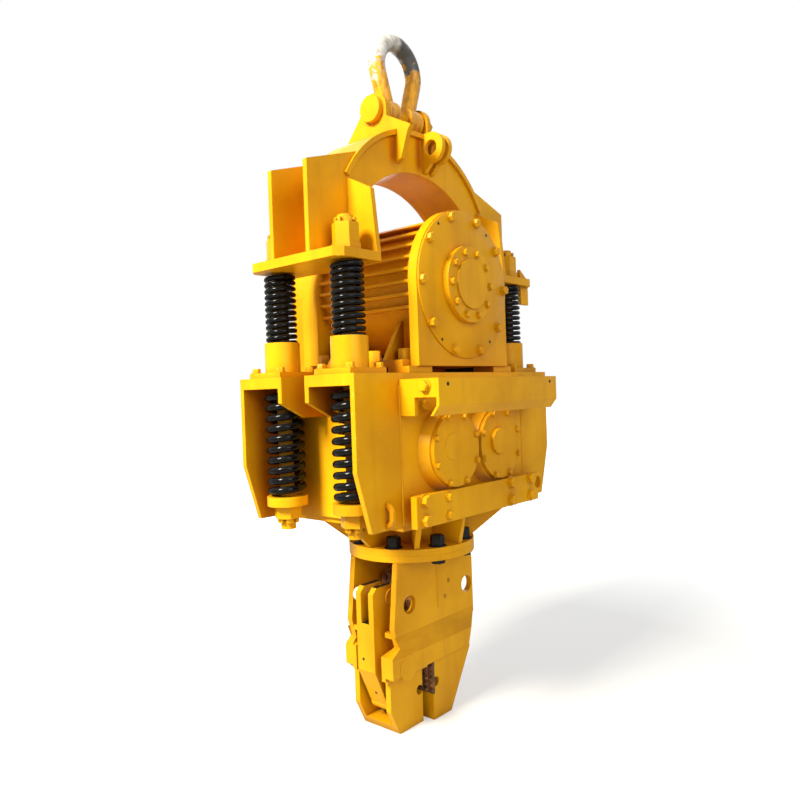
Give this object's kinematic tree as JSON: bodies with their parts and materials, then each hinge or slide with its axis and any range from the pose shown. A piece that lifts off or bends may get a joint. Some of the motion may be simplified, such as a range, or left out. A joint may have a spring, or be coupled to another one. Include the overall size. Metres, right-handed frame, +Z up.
{
  "type": "electric vibratory pile hammer",
  "caption": "Crane-hung vibratory pile hammer: shackle and arched yoke on coil springs over a motor, a vibrator case, and a lever clamp with toothed jaws that grips a sheet pile.",
  "frame": {"origin": "on the floor under the clamp, on the fixed jaw's foot and on the axis of the round clamp flange", "axes": "+Z up along the machine, +Y along the motor shaft towards the belt guard, +X from the clamp's lever side to the fixed jaw"},
  "size_m": [1.244, 0.852, 2.7789],
  "materials": {
    "paint_yellow": "gloss enamel, dulled in places",
    "spring_black": "gloss black",
    "tooth_steel": "bare, lightly rusted",
    "rod_chrome": "polished",
    "pin_steel": "turned steel, painted over at the ends",
    "shackle_steel": "worn yellow paint over forged steel"
  },
  "bodies": {
    "hammer": {"adapter": "paint_yellow", "belt_guard": "paint_yellow", "bracket_back_left": "paint_yellow", "bracket_back_right": "paint_yellow", "bracket_front_left": "paint_yellow", "bracket_front_right": "paint_yellow", "clamp_cheek_back": "paint_yellow", "clamp_cheek_front": "paint_yellow", "clamp_cylinder": "tooth_steel", "clamp_fixed_jaw": "paint_yellow", "clamp_fixed_teeth": "tooth_steel", "clamp_flange": "paint_yellow", "clamp_jaw_housing": "paint_yellow", "clamp_pivot_pin": "pin_steel", "column_rods": "paint_yellow", "front_guard": "paint_yellow", "front_guard_brackets": "paint_yellow", "lower_bar": "paint_yellow", "lower_springs": "spring_black", "lug_left": "paint_yellow", "lug_right": "paint_yellow", "motor_base": "paint_yellow", "motor_cap": "paint_yellow", "motor_frame": "paint_yellow", "motor_front_plate": "paint_yellow", "motor_rear_plate": "paint_yellow", "shaft_cover_left": "paint_yellow", "shaft_cover_right": "paint_yellow", "spring_sleeves": "paint_yellow", "tie_plate_left": "paint_yellow", "tie_plate_right": "paint_yellow", "upper_springs": "spring_black", "vibrator_case": "paint_yellow", "yoke_rim": "paint_yellow", "yoke_seat_left": "paint_yellow", "yoke_seat_right": "paint_yellow", "yoke_soffit": "paint_yellow", "yoke_web_back": "paint_yellow", "yoke_web_front": "paint_yellow"},
    "shackle": {"shackle_bow": "shackle_steel", "shackle_pin": "shackle_steel"},
    "lever": {"clamp_lever": "paint_yellow", "clamp_fork_pin": "pin_steel"},
    "rod": {"clamp_rod": "rod_chrome"},
    "jaw": {"clamp_moving_jaw": "tooth_steel"}
  },
  "joints": [
    {"name": "shackle_swing", "type": "hinge", "parent": "hammer", "child": "shackle", "pos_m": [0, 0, 2.44], "axis": [1, 0, 0], "range_deg": [-85, 85]},
    {"name": "lever_swing", "type": "hinge", "parent": "hammer", "child": "lever", "pos_m": [-0.204, 0, 0.264], "axis": [0, 1, 0], "range_deg": [-6.5, 6.5]},
    {"name": "rod_slide", "type": "slide", "parent": "hammer", "child": "rod", "axis": [1, 0, 0], "range_m": [-0.0295, 0.0295]},
    {"name": "jaw_slide", "type": "slide", "parent": "hammer", "child": "jaw", "axis": [1, 0, 0], "range_m": [-0.019, 0.019]}
  ],
  "couplings": [
    {"joint": "rod_slide", "follows": "lever_swing", "m_per_rad": 0.256},
    {"joint": "jaw_slide", "follows": "lever_swing", "m_per_rad": -0.164}
  ]
}
